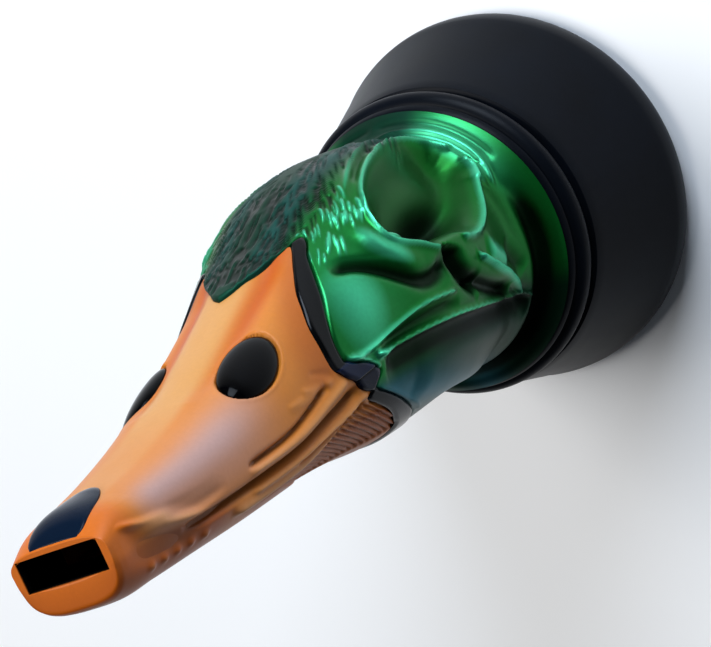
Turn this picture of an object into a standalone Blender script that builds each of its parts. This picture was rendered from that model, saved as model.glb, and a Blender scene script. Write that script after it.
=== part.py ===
"""Duck call in the shape of a drake's head, standing on the rim of its flared bell.

+Z runs from the bell's rim to the tip of the bill, +X is the crown side, and the duck's left is -Y.
The bell carries the insert: a tenon with two O-rings, a tone board, two reeds and their wedge.
The head, gape trim and bill are moulded in left and right halves around a barrel tube and an air duct.
All sizes are in metres.
"""
import bpy
import bmesh
import numpy as np
from math import cos, pi, radians, sin
from mathutils import Matrix, Vector

# ---- fits ------------------------------------------------------------------------------------
GAP = 0.0003                 # between pieces that touch or are moulded to fit
EDGE_GAP = 0.0007            # along the curved edges of the gape trim
RING_CLEARANCE = 0.0001      # O-ring to barrel bore, so that the barrel turns and slides

# ---- bell and tenon --------------------------------------------------------------------------
BELL_LENGTH = 0.0263         # rim to shoulder
BELL_RADIUS = 0.0309         # widest, just above the rim
BELL_WALL = 0.0024
BELL_THROAT_RADIUS = 0.0046  # bore through the tenon
RIM_WIDTH = 0.0018           # flat annulus that the call stands on
TENON_LENGTH = 0.0237        # shoulder to tenon end
RING_THICKNESS = 0.0020      # O-ring cord diameter
RING_FIRST = 0.0085          # shoulder to the rear ring
RING_PITCH = 0.0080          # rear ring to front ring

# ---- neck band, barrel tube and duct ---------------------------------------------------------
BAND_LENGTH = 0.0059
BAND_RADIUS = 0.0252
BAND_STEP = 0.0019           # how far the band stands proud of the neck
BAND_WEB = 0.0032            # thickness of the band's inner disc
BORE_RADIUS = 0.0080
TUBE_WALL = 0.0014
TUBE_LENGTH = 0.0610
SPIGOT_LENGTH = 0.0040       # duct inside the barrel bore
SPIGOT_WALL = 0.0015
SEAL_THICKNESS = 0.0020
FLANGE_THICKNESS = 0.0020
DUCT_WALL = 0.0009

# ---- tone board, reeds and wedge -------------------------------------------------------------
BOARD_TIP_ROOM = 0.0020      # board tip to duct spigot
STEM_LENGTH = 0.0120         # board stem inside the bell throat
STEM_WALL = 0.0017
TROUGH_WIDTH = 0.0055
TROUGH_DEPTH = 0.0040
LAY_ANGLE = radians(3.5)     # slope of the board under the free reed
REED_WIDTH = 0.0125
REED_THICKNESS = 0.00036
REED_SETBACK = 0.0020        # reed tip behind board tip
REED_STEP = 0.0060           # short reed's tip behind the long one's
REED_HEEL = 0.0030           # tenon end to the reeds' pivot line
WEDGE_LENGTH = 0.0085

# ---- head and bill ---------------------------------------------------------------------------
HEAD_LENGTH = 0.0597         # neck band to the tip of the feather tongue
BILL_LENGTH = 0.0575         # tongue tip to bill tip
HEAD_WALL = 0.0020
BILL_WALL = 0.0018
TRIM_PROUD = 0.0004          # gape trim above head and bill
SLOT_WIDTH = 0.0141          # mouth slot, across the bill
SLOT_HEIGHT = 0.0046
SLOT_OFFSET = -0.00435       # slot centre below the call's axis
SLOT_RELIEF = 0.0003         # duct mouth larger than the slot, on each side
LIP_SIDE = 0.0014            # bill beside the slot
LIP_TOP = 0.0008             # bill above the slot
LIP_BOTTOM = 0.0043          # bill below the slot
SOCKET_CENTRE = (0.0130, 0.0170, 0.0202)   # crown-ward, sideways, ahead of the neck
SOCKET_RADIUS = 0.0140
NAIL_LENGTH = 0.0123
NAIL_HALF_WIDTH = 0.0045
NAIL_PROUD = 0.0006
NAIL_SUNK = 0.0007
NOSTRIL_AHEAD = 0.0138       # nostril centre ahead of the tongue tip
NOSTRIL_ANGLE = radians(45)  # nostril centre round from the crown line
NOSTRIL_LENGTH = 0.0140
NOSTRIL_WIDTH = 0.0096
NOSTRIL_PROUD = 0.0005
NOSTRIL_SUNK = 0.0009

# ---- mesh resolution -------------------------------------------------------------------------
ROUND_STEPS = 36
COLUMN = radians(7.5)        # spacing of the skin's columns round the head and bill
HEAD_ROWS = 13
BILL_ROWS = 9

# ---- heights along +Z ------------------------------------------------------------------------
shoulder = BELL_LENGTH
tenon_end = shoulder + TENON_LENGTH
band_base = shoulder + GAP
band_top = band_base + BAND_LENGTH
neck = band_top + GAP
tongue = neck + HEAD_LENGTH
tip = tongue + BILL_LENGTH
tube_base = band_base + GAP
tube_top = tube_base + TUBE_LENGTH
spigot_base = tube_top - SPIGOT_LENGTH
board_tip = spigot_base - BOARD_TIP_ROOM
reed_pivot = tenon_end + REED_HEEL
reed_tip = board_tip - REED_SETBACK

tube_radius = BORE_RADIUS + TUBE_WALL
tenon_radius = BORE_RADIUS - GAP
neck_radius = BAND_RADIUS - BAND_STEP
stem_radius = BELL_THROAT_RADIUS - GAP

# Cross-sections of the skin: fraction of the length, then centre, crown height, throat depth,
# half width, and squareness (2 is an ellipse). The tip follows the mouth slot.
tip_width = SLOT_WIDTH / 2 + LIP_SIDE
tip_up = SLOT_HEIGHT / 2 + LIP_TOP
tip_down = SLOT_HEIGHT / 2 + LIP_BOTTOM
HEAD_SECTIONS = [
    (0.00, 0.0, neck_radius, neck_radius, neck_radius, 2.0),
    (0.055, -0.0005, 0.0210, 0.0195, 0.0200, 2.0),
    (0.14, 0.0003, 0.0210, 0.0180, 0.0190, 2.1),
    (0.255, 0.0009, 0.0218, 0.0185, 0.0200, 2.2),
    (0.42, 0.0015, 0.0220, 0.0190, 0.0205, 2.2),
    (0.59, 0.0015, 0.0208, 0.0190, 0.0195, 2.2),
    (0.757, 0.0005, 0.0182, 0.0175, 0.0170, 2.2),
    (0.925, -0.0009, 0.0152, 0.0145, 0.0145, 2.3),
]
BILL_SECTIONS = [
    (0.06, -0.0020, 0.0134, 0.0125, tip_width + 0.0051, 2.4),
    (0.235, SLOT_OFFSET + 0.0008, 0.0116, 0.0105, tip_width + 0.0047, 2.5),
    (0.44, SLOT_OFFSET + 0.0002, tip_up + 0.0056, tip_down + 0.0028, tip_width + 0.0041, 2.6),
    (0.65, SLOT_OFFSET - 0.0002, tip_up + 0.0038, tip_down + 0.0017, tip_width + 0.0028, 2.8),
    (0.825, SLOT_OFFSET - 0.0002, tip_up + 0.0028, tip_down + 0.0012, tip_width + 0.0012, 3.0),
    (0.948, SLOT_OFFSET, tip_up + 0.0016, tip_down + 0.0009, tip_width + 0.0003, 3.2),
    (1.00, SLOT_OFFSET, tip_up, tip_down, tip_width, 3.2),
]
sections = np.array(
    [(neck + f * HEAD_LENGTH, *rest) for f, *rest in HEAD_SECTIONS]
    + [(tongue + f * BILL_LENGTH, *rest) for f, *rest in BILL_SECTIONS]
)
slopes = np.gradient(sections[:, 1:], sections[:, 0], axis=0)

# Edges round the skin: degrees from the crown line, then distance behind the tongue tip.
HEAD_EDGE = [(0, 0.0), (7.5, 0.0018), (15, 0.0050), (22.5, 0.0085), (30, 0.0135), (52.5, 0.0075),
             (75, 0.0035), (90, 0.0028), (105, 0.0080), (120, 0.0090), (142.5, 0.0185), (180, 0.0215)]
BILL_EDGE = [(0, -GAP), (7.5, 0.0015), (15, 0.0047), (22.5, 0.0081), (30, 0.0113), (45, 0.0045),
             (67.5, 0.0), (90, -0.0008), (97.5, 0.0008), (112.5, 0.0058), (142.5, 0.0145), (180, 0.0175)]
TRIM_START = radians(30)     # the trim's points, beside the feather tongue

call = bpy.data.collections.new("duck_call")
cutters = bpy.data.collections.new("cutters")


# ---- tools -----------------------------------------------------------------------------------
def material(name, hex_colour, roughness, metallic=0.0):
    """A Principled material from an sRGB hex colour."""
    channels = [int(hex_colour[i:i + 2], 16) / 255 for i in (0, 2, 4)]
    linear = [c / 12.92 if c <= 0.04045 else ((c + 0.055) / 1.055) ** 2.4 for c in channels]
    made = bpy.data.materials.new(name)
    made.use_nodes = True
    shader = made.node_tree.nodes["Principled BSDF"]
    shader.inputs["Base Color"].default_value = (*linear, 1.0)
    shader.inputs["Roughness"].default_value = roughness
    shader.inputs["Metallic"].default_value = metallic
    return made


def add(name, mesh_data, look, collection=call):
    """Turn a bmesh into a named object with one material."""
    mesh = bpy.data.meshes.new(name)
    mesh_data.to_mesh(mesh)
    mesh_data.free()
    mesh.shade_smooth()
    mesh.set_sharp_from_angle(angle=radians(35))
    obj = bpy.data.objects.new(name, mesh)
    collection.objects.link(obj)
    if look:
        mesh.materials.append(look)
    return obj


def add_cutter(name, mesh_data):
    """A cutter stays out of the render and shows as a wire."""
    obj = add(name, mesh_data, None, cutters)
    obj.hide_render = True
    obj.display_type = "WIRE"
    return obj


def boolean(obj, operation, other):
    step = obj.modifiers.new(other.name, "BOOLEAN")
    step.operation = operation
    step.object = other


def thicken(obj, sunk, proud):
    """Solidify an open skin: sunk below it and proud above it."""
    step = obj.modifiers.new("wall", "SOLIDIFY")
    step.thickness = sunk + proud
    step.offset = 2 * proud / (sunk + proud) - 1
    step.use_even_offset = True


def box(low, high):
    """A box between two corners."""
    low, high = Vector(low), Vector(high)
    data = bmesh.new()
    size = Matrix.Diagonal((*(high - low), 1.0))
    bmesh.ops.create_cube(data, size=1.0, matrix=Matrix.Translation((low + high) / 2) @ size)
    return data


def cylinder(radius, base, top):
    """A capped cylinder on the call's axis."""
    data = bmesh.new()
    bmesh.ops.create_cone(data, cap_ends=True, segments=ROUND_STEPS, radius1=radius, radius2=radius,
                          depth=top - base, matrix=Matrix.Translation((0, 0, (base + top) / 2)))
    return data


def turned(name, profile, look):
    """Turn a closed profile of (radius, height) about Z; it runs down its outer side."""
    data = bmesh.new()
    points = [data.verts.new((radius, 0.0, height)) for radius, height in profile]
    for here, after in zip(points, points[1:] + points[:1]):
        data.edges.new((here, after))
    obj = add(name, data, look)
    step = obj.modifiers.new("turn", "SCREW")
    step.steps = ROUND_STEPS
    step.render_steps = ROUND_STEPS
    step.use_merge_vertices = True
    step.merge_threshold = 0.00001
    return obj


def arc(centre, radii, start, end, count):
    """Points of an elliptical arc in the (radius, height) plane, angles in degrees."""
    angles = np.radians(np.linspace(start, end, count))
    return [(centre[0] + radii[0] * cos(a), centre[1] + radii[1] * sin(a)) for a in angles]


# ---- the skin --------------------------------------------------------------------------------
def section(height):
    """Centre, crown, throat, half width and squareness, smooth between the sections."""
    heights = sections[:, 0]
    i = int(np.clip(np.searchsorted(heights, height) - 1, 0, len(heights) - 2))
    span = heights[i + 1] - heights[i]
    t = float(np.clip((height - heights[i]) / span, 0, 1))
    start = (2 * t**3 - 3 * t**2 + 1) * sections[i, 1:] + (t**3 - 2 * t**2 + t) * span * slopes[i]
    end = (3 * t**2 - 2 * t**3) * sections[i + 1, 1:] + (t**3 - t**2) * span * slopes[i + 1]
    return start + end


def skin(angle, height):
    """Point on the outer skin; the angle runs from the crown line round the duck's right side."""
    centre, up, down, half_width, squareness = section(height)
    along, across = cos(angle), sin(angle)
    reach = up if along >= 0 else down
    x = centre + reach * np.sign(along) * abs(along) ** (2 / squareness)
    y = half_width * np.sign(across) * abs(across) ** (2 / squareness)
    return Vector((x, y, height))


def press_socket(point):
    """Push the skin in round the eye, down to a floor that just clears the barrel tube."""
    side = 1 if point.y > 0 else -1
    centre = Vector((SOCKET_CENTRE[0], side * SOCKET_CENTRE[1], neck + SOCKET_CENTRE[2]))
    outward = Vector((centre.x, centre.y, 0.0))
    depth = outward.length - (tube_radius + 2 * GAP + HEAD_WALL)
    near = 1 - ((point - centre).length / SOCKET_RADIUS) ** 2
    return point - outward.normalized() * depth * max(near, 0.0)


def edge_height(edge, angle):
    """Height of an edge at an angle; both sides are alike."""
    degrees = abs((np.degrees(angle) + 180) % 360 - 180)
    angles, behind = zip(*edge)
    return tongue - float(np.interp(degrees, angles, behind))


def skin_patch(side, start, rows, place):
    """Open grid over one half, from a start angle to just past the throat line.

    place(angle, row) gives each point, and the faces point out.
    """
    first = round(start / COLUMN)
    columns = round(pi / COLUMN) + 1 - first
    data = bmesh.new()
    bmesh.ops.create_grid(data, x_segments=columns, y_segments=rows, size=1.0)
    for vert in data.verts:
        column = round((vert.co.x + 1) / 2 * columns) + first
        row = round((vert.co.y + 1) / 2 * rows)
        vert.co = place(side * column * COLUMN, row)
    if side < 0:
        bmesh.ops.reverse_faces(data, faces=data.faces)
    return data


def half_space(side, name):
    """Everything on one side of the moulding seam and ahead of the neck band."""
    reach = BELL_RADIUS * 2
    low_y, high_y = sorted((side * GAP / 2, side * reach))
    return add_cutter(name, box((-reach, low_y, neck), (reach, high_y, tip + reach)))


# ---- insert: bell, tone board, reeds, wedge --------------------------------------------------
def make_bell(look):
    """Flared bell on a tenon with two O-ring grooves; the rim is a flat annulus."""
    ring_floor = BORE_RADIUS - RING_CLEARANCE - RING_THICKNESS - GAP
    half_groove = RING_THICKNESS / 2 + GAP
    tenon = [(tenon_radius, tenon_end)]
    for centre in (shoulder + RING_FIRST + RING_PITCH, shoulder + RING_FIRST):
        tenon += [(tenon_radius, centre + half_groove), (ring_floor, centre + half_groove)]
        tenon += [(ring_floor, centre - half_groove), (tenon_radius, centre - half_groove)]
    shoulder_radius = BAND_RADIUS + GAP
    cone = [(tenon_radius, shoulder), (shoulder_radius - 0.0008, shoulder),
            (shoulder_radius, shoulder - 0.0008), (BELL_RADIUS - 0.0006, 0.0070)]
    rim_outer = BELL_RADIUS - 0.0022
    cone += arc((rim_outer, 0.0042), (0.0022, 0.0042), 20, -90, 6)
    rim_inner = rim_outer - RIM_WIDTH
    cup_radius = shoulder_radius - BELL_WALL - 0.0012
    cup = [(rim_inner, 0.0), (rim_inner - 0.0004, 0.0006)]
    cup += arc((BELL_THROAT_RADIUS, 0.0130), (cup_radius - BELL_THROAT_RADIUS, shoulder - 0.0130 - BELL_WALL),
               0, 90, 8)
    turned("bell", tenon + cone + cup + [(BELL_THROAT_RADIUS, tenon_end)], look)


def make_tone_board(look):
    """Half-round board on a hollow stem, with an air trough and a sloping lay."""
    board_radius = tenon_radius - GAP
    board = add("tone_board", cylinder(board_radius, tenon_end + GAP, board_tip), look)
    stem = add_cutter("board_stem", cylinder(stem_radius, tenon_end - STEM_LENGTH, tenon_end + 2 * GAP))
    boolean(board, "UNION", stem)
    above = box((-GAP, -BORE_RADIUS, tenon_end - GAP), (BORE_RADIUS, BORE_RADIUS, board_tip + GAP))
    boolean(board, "DIFFERENCE", add_cutter("above_board", above))
    lay = box((0, -BORE_RADIUS, 0), (BORE_RADIUS, BORE_RADIUS, board_tip))
    lay_start = Matrix.Translation((-GAP, 0, reed_pivot + 0.003)) @ Matrix.Rotation(-LAY_ANGLE, 4, "Y")
    bmesh.ops.transform(lay, matrix=lay_start, verts=lay.verts)
    boolean(board, "DIFFERENCE", add_cutter("lay_cut", lay))
    trough = box((-GAP - TROUGH_DEPTH, -TROUGH_WIDTH / 2, tenon_end - GAP),
                 (GAP, TROUGH_WIDTH / 2, reed_tip - 0.003))
    boolean(board, "DIFFERENCE", add_cutter("trough_cut", trough))
    channel = cylinder(stem_radius - STEM_WALL, tenon_end - STEM_LENGTH - GAP, tenon_end + 4 * GAP)
    boolean(board, "DIFFERENCE", add_cutter("channel_cut", channel))


def make_reed(name, level, length, look):
    """A flat reed, its origin on its pivot line at the heel."""
    data = box((-REED_THICKNESS / 2, -REED_WIDTH / 2, -0.001), (REED_THICKNESS / 2, REED_WIDTH / 2, length))
    reed = add(name, data, look)
    reed.location = (level, 0, reed_pivot)


def make_wedge(look):
    """Wedge that holds the reeds' heels down on the board."""
    base = tenon_end + GAP
    wedge = add("reed_wedge", cylinder(tenon_radius - GAP, base, base + WEDGE_LENGTH), look)
    under = 2 * (REED_THICKNESS + GAP)
    below = add_cutter("below_wedge", box((-BORE_RADIUS, -BORE_RADIUS, base - 0.01),
                                          (under, BORE_RADIUS, base + WEDGE_LENGTH + 0.01)))
    boolean(wedge, "DIFFERENCE", below)


def make_o_ring(name, height, look):
    """O-ring in its tenon groove."""
    bpy.ops.mesh.primitive_torus_add(
        major_radius=BORE_RADIUS - RING_CLEARANCE - RING_THICKNESS / 2, minor_radius=RING_THICKNESS / 2,
        major_segments=ROUND_STEPS, minor_segments=6, location=(0, 0, height))
    ring = bpy.context.object
    ring.name = name
    ring.data.materials.append(look)
    ring.data.shade_smooth()
    for collection in ring.users_collection:
        collection.objects.unlink(ring)
    call.objects.link(ring)


# ---- barrel: band, tube, seal, duct ----------------------------------------------------------
def make_band(look):
    """Round bead behind the neck, with a disc that carries the barrel tube."""
    inner = tube_radius + GAP
    web = band_top - BAND_WEB
    bead = arc((BAND_RADIUS - 0.0022, (band_base + band_top) / 2), (0.0022, BAND_LENGTH / 2), 90, -90, 9)
    profile = [(inner, band_top)] + bead + [(BAND_RADIUS - 0.0060, band_base), (BAND_RADIUS - 0.0060, web)]
    turned("neck_band", profile + [(inner, web)], look)


def make_tube(look):
    """Straight tube whose bore takes the tenon."""
    lead = 0.0006
    turned("barrel_tube", [(tube_radius, tube_top), (tube_radius, tube_base), (BORE_RADIUS + lead, tube_base),
                           (BORE_RADIUS, tube_base + lead), (BORE_RADIUS, tube_top)], look)


def make_seal(look):
    """Flat ring between the tube's end and the duct's flange."""
    base = tube_top + GAP
    inner = BORE_RADIUS
    turned("duct_seal", [(tube_radius, base + SEAL_THICKNESS), (tube_radius, base), (inner, base),
                         (inner, base + SEAL_THICKNESS)], look)


def duct_front():
    """Farthest height at which the bill is still wide enough for the duct's mouth."""
    corner_room = 0.0008
    needed = SLOT_WIDTH / 2 + SLOT_RELIEF + DUCT_WALL + GAP + BILL_WALL + corner_room
    heights = np.linspace(tip, tongue, 200)
    return next(z for z in heights if section(z)[3] >= needed)


def make_duct(look):
    """Air duct: a round spigot and flange that turn into the flat mouth of the slot."""
    flange_base = tube_top + SEAL_THICKNESS + 2 * GAP
    flange_top = flange_base + FLANGE_THICKNESS
    outer_round = BORE_RADIUS - GAP
    inner_round = outer_round - SPIGOT_WALL
    front = duct_front()

    def ring(height, wall):
        t = min(max((height - flange_top) / (front - flange_top), 0), 1)
        ease = t * t * (3 - 2 * t)
        half_x = inner_round + ease * (SLOT_HEIGHT / 2 + SLOT_RELIEF - inner_round) + wall
        half_y = inner_round + ease * (SLOT_WIDTH / 2 + SLOT_RELIEF - inner_round) + wall
        power = 2 / (2 + 6 * ease)
        points = []
        for k in range(32):
            c, s = cos(2 * pi * (k + 0.5) / 32), sin(2 * pi * (k + 0.5) / 32)
            points.append((SLOT_OFFSET * ease + half_x * np.sign(c) * abs(c) ** power,
                           half_y * np.sign(s) * abs(s) ** power, height))
        return points

    centre, up = section(flange_top)[:2]
    brim = min(tube_radius, centre + up - BILL_WALL - 2 * GAP)   # clear of the bill's crown
    flange_wall = brim - inner_round
    body = np.linspace(flange_top, front, 7)
    rings = [ring(spigot_base, SPIGOT_WALL), ring(flange_base, SPIGOT_WALL), ring(flange_base, flange_wall),
             ring(flange_top, flange_wall), ring(flange_top, DUCT_WALL)]
    rings += [ring(z, DUCT_WALL) for z in body[1:]]
    rings += [ring(z, 0) for z in body[::-1]] + [ring(spigot_base, 0)]
    data = bmesh.new()
    loops = [[data.verts.new(p) for p in points] for points in rings]
    for lower, upper in zip(loops, loops[1:] + loops[:1]):
        for k in range(32):
            data.faces.new((lower[k], lower[k - 31], upper[k - 31], upper[k]))
    add("mouthpiece_duct", data, look)


# ---- head, trim and bill ---------------------------------------------------------------------
def make_head(side, name, look):
    """Half of the head, from the neck band to the feather edge, with its eye socket."""
    def place(angle, row):
        top = edge_height(HEAD_EDGE, angle)
        base = neck - 0.001
        return press_socket(skin(angle, base + (top - base) * row / HEAD_ROWS))

    head = add(name, skin_patch(side, -COLUMN, HEAD_ROWS, place), look)
    thicken(head, HEAD_WALL, 0.0)
    boolean(head, "INTERSECT", half_space(side, name + "_side"))


def make_trim(side, name, look):
    """Half of the raised strip between head and bill; it narrows to a point beside the tongue."""
    def place(angle, row):
        base = edge_height(HEAD_EDGE, angle) + EDGE_GAP
        top = edge_height(BILL_EDGE, angle) - EDGE_GAP
        return skin(angle, base + (top - base) * row / 2)

    trim = add(name, skin_patch(side, TRIM_START, 2, place), look)
    thicken(trim, BILL_WALL, TRIM_PROUD)
    boolean(trim, "INTERSECT", half_space(side, name + "_side"))


def make_bill(side, name, look, cuts):
    """Half of the bill, closed at the tip round the mouth slot."""
    end_rows = (0.45, 0.9)

    def place(angle, row):
        base = edge_height(BILL_EDGE, angle)
        if row <= BILL_ROWS:
            return skin(angle, base + (tip - base) * row / BILL_ROWS)
        shrink = end_rows[row - BILL_ROWS - 1]
        return skin(angle, tip).lerp(Vector((SLOT_OFFSET, 0, tip)), shrink)

    bill = add(name, skin_patch(side, -COLUMN, BILL_ROWS + len(end_rows), place), look)
    thicken(bill, BILL_WALL, 0.0)
    boolean(bill, "INTERSECT", half_space(side, name + "_side"))
    for cut in cuts:
        boolean(bill, "DIFFERENCE", cut)


def nail_patch(grow):
    """Open skin of the nail: a shield that narrows to the rear; grow widens it all round."""
    rear = tip - NAIL_LENGTH - grow
    front = tip - GAP + grow / 2
    data = bmesh.new()
    bmesh.ops.create_grid(data, x_segments=8, y_segments=8, size=1.0)
    for vert in data.verts:
        t = (vert.co.y + 1) / 2
        height = rear + (front - rear) * t
        half = NAIL_HALF_WIDTH * (0.25 + 0.75 * sin(0.5 * pi * min(1, t / 0.7))) + grow
        y = vert.co.x * half
        centre, up, _, half_width, squareness = section(min(height, tip))
        vert.co = (centre + up * (1 - (abs(y) / half_width) ** squareness) ** (1 / squareness), y, height)
    data.normal_update()
    if sum(f.normal.x for f in data.faces) < 0:
        bmesh.ops.reverse_faces(data, faces=data.faces)
    return data


def make_nail(look):
    """Black nail let into the top of the bill tip."""
    thicken(add("bill_nail", nail_patch(0.0), look), NAIL_SUNK, NAIL_PROUD)


def nail_cut():
    """Pocket for the nail, GAP larger all round."""
    cut = add_cutter("nail_pocket", nail_patch(GAP))
    thicken(cut, NAIL_SUNK + GAP, 0.002)
    return cut


def nostril_patch(side, grow):
    """Open oval of the bill's skin, with its long axis along the bill; grow widens it all round."""
    half_length = NOSTRIL_LENGTH / 2 + grow
    _, up, _, half_width, _ = section(tongue + NOSTRIL_AHEAD)
    spread = (NOSTRIL_WIDTH / 2 + grow) / ((up + half_width) / 2)
    data = bmesh.new()
    bmesh.ops.create_grid(data, x_segments=8, y_segments=8, size=1.0)
    for vert in data.verts:
        u, v = vert.co.x, vert.co.y
        across, along = u * (1 - v * v / 2) ** 0.5, v * (1 - u * u / 2) ** 0.5
        vert.co = skin(side * (NOSTRIL_ANGLE + across * spread), tongue + NOSTRIL_AHEAD + along * half_length)
    if side < 0:
        bmesh.ops.reverse_faces(data, faces=data.faces)
    return data


def make_nostril(side, name, look):
    """Gloss oval let into the bill."""
    thicken(add(name, nostril_patch(side, 0.0), look), NOSTRIL_SUNK, NOSTRIL_PROUD)


def nostril_cut(side, name):
    """Pocket for a nostril, GAP larger all round."""
    cut = add_cutter(name, nostril_patch(side, GAP))
    thicken(cut, NOSTRIL_SUNK + GAP, 0.002)
    return cut


# ---- assembly --------------------------------------------------------------------------------
def build():
    for obj in list(bpy.data.objects):
        bpy.data.objects.remove(obj, do_unlink=True)
    for collection in (call, cutters):
        bpy.context.scene.collection.children.link(collection)

    black = material("black_plastic", "12161C", 0.35)
    trim_black = material("gloss_black", "0C0F14", 0.15)
    green = material("green_gloss", "0B5A2A", 0.2)
    orange = material("orange_gloss", "C97A3C", 0.3)
    rubber = material("rubber", "1A1A1A", 0.8)
    board_look = material("board_plastic", "2A2A2C", 0.5)
    reed_look = material("mylar", "D8D8C8", 0.2)
    cork = material("cork", "A97B4B", 0.9)

    make_bell(black)
    make_tone_board(board_look)
    make_reed("reed_long", REED_THICKNESS / 2, reed_tip - reed_pivot, reed_look)
    make_reed("reed_short", REED_THICKNESS * 1.5 + GAP, reed_tip - REED_STEP - reed_pivot, reed_look)
    make_wedge(cork)
    make_o_ring("tenon_oring_rear", shoulder + RING_FIRST, rubber)
    make_o_ring("tenon_oring_front", shoulder + RING_FIRST + RING_PITCH, rubber)

    make_band(black)
    make_tube(black)
    make_seal(rubber)
    make_duct(black)

    slot = add_cutter("slot_cut", box((SLOT_OFFSET - SLOT_HEIGHT / 2, -SLOT_WIDTH / 2, tip - 3 * BILL_WALL),
                                      (SLOT_OFFSET + SLOT_HEIGHT / 2, SLOT_WIDTH / 2, tip + BILL_WALL)))
    pocket = nail_cut()
    for side, word in ((-1, "left"), (1, "right")):
        hole = nostril_cut(side, "nostril_pocket_" + word)
        make_head(side, "head_" + word, green)
        make_trim(side, "gape_trim_" + word, trim_black)
        make_bill(side, "bill_" + word, orange, (slot, hole, pocket))
        make_nostril(side, "nostril_" + word, trim_black)
    make_nail(trim_black)


build()
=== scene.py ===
import math

import bmesh
import bpy
import numpy as np
from mathutils import Matrix, Vector


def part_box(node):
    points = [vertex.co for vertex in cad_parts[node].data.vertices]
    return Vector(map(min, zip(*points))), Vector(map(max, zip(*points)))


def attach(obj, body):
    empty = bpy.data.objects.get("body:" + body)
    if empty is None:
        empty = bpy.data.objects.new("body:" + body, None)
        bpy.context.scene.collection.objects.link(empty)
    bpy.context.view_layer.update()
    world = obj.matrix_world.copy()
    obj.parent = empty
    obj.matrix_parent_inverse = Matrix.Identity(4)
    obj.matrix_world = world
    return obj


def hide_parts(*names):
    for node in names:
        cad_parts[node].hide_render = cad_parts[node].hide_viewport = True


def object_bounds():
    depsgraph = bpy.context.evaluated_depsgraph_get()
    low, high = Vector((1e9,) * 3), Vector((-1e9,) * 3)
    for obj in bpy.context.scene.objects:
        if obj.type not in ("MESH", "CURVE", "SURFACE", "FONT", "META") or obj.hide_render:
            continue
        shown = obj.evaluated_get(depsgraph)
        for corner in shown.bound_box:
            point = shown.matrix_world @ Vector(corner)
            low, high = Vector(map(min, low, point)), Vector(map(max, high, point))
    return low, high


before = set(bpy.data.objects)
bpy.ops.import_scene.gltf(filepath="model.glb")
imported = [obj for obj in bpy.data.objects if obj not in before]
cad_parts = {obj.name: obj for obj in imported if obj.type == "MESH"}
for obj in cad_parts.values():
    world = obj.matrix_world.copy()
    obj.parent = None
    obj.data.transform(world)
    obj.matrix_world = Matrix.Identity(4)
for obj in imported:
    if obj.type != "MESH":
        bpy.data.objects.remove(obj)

cad_low, cad_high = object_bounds()

# ---- Stand, lights and camera ----------------------------------------------------------------
# The call stands on its bell on a plain white board, in a small light tent: a gridded softbox on the
# crown side, a broad one overhead, a faint one on the left, and the board throws light back up.
MM = 0.001


def linear(hex_colour):
    """An sRGB hex colour as linear RGBA."""
    channels = [int(hex_colour[i:i + 2], 16) / 255 for i in (0, 2, 4)]
    return (*[c / 12.92 if c <= 0.04045 else ((c + 0.055) / 1.055) ** 2.4 for c in channels], 1.0)


def add_node(material, kind, links=(), **settings):
    """Add a node: settings name its properties or its input sockets, links feed its inputs."""
    node = material.node_tree.nodes.new(kind)
    for name, value in settings.items():
        if hasattr(node, name):
            setattr(node, name, value)
        else:
            node.inputs[name.replace("_", " ")].default_value = value
    for name, source in links:
        material.node_tree.links.new(source, node.inputs[name])
    return node


def new_material(name):
    """A new node material, and its Principled shader."""
    made = bpy.data.materials.new(name)
    made.use_nodes = True
    return made, made.node_tree.nodes["Principled BSDF"]


BOARD_HALF_WIDTH = 1500 * MM
board_white, board_shader = new_material("white_card")
board_shader.inputs["Base Color"].default_value = linear("FCFCFC")
board_shader.inputs["Roughness"].default_value = 0.9

card = bmesh.new()
bmesh.ops.create_grid(card, x_segments=1, y_segments=1, size=BOARD_HALF_WIDTH)
card_mesh = bpy.data.meshes.new("floor")
card.to_mesh(card_mesh)
card.free()
card_mesh.materials.append(board_white)
floor = bpy.data.objects.new("floor", card_mesh)
bpy.context.collection.objects.link(floor)

CAMERA_TARGET = Vector((0.0, -6.6, 71.6)) * MM
CAMERA_AZIMUTH = math.radians(14.5)
CAMERA_ELEVATION = math.radians(55.8)
CAMERA_ROLL = math.radians(-126.7)
CAMERA_DISTANCE = 550 * MM
CAMERA_LENS = 187.85

away = Vector((math.sin(CAMERA_AZIMUTH) * math.cos(CAMERA_ELEVATION),
               -math.cos(CAMERA_AZIMUTH) * math.cos(CAMERA_ELEVATION), math.sin(CAMERA_ELEVATION)))
level = (-away).to_track_quat("-Z", "Y")
turned_view = level.to_matrix() @ Matrix.Rotation(CAMERA_ROLL, 3, "Z")
camera_data = bpy.data.cameras.new("camera")
camera_data.lens = CAMERA_LENS
camera_data.sensor_width = 36
camera_data.clip_start = 20 * MM
camera_data.clip_end = 10000 * MM
camera = bpy.data.objects.new("camera", camera_data)
camera.matrix_world = Matrix.Translation(CAMERA_TARGET + away * CAMERA_DISTANCE) @ turned_view.to_4x4()
bpy.context.collection.objects.link(camera)
bpy.context.scene.camera = camera


def softbox(name, toward, distance, size, power, colour, spread=180):
    """A square area light that faces the middle of the call; a grid on its front narrows its spread."""
    data = bpy.data.lights.new(name, "AREA")
    data.shape = "SQUARE"
    data.size = size
    data.energy = power
    data.spread = math.radians(spread)
    data.color = linear(colour)[:3]
    lamp = bpy.data.objects.new(name, data)
    place = CAMERA_TARGET + Vector(toward).normalized() * distance
    turn = (CAMERA_TARGET - place).to_track_quat("-Z", "Y")
    lamp.matrix_world = Matrix.Translation(place) @ turn.to_matrix().to_4x4()
    bpy.context.collection.objects.link(lamp)


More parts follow.
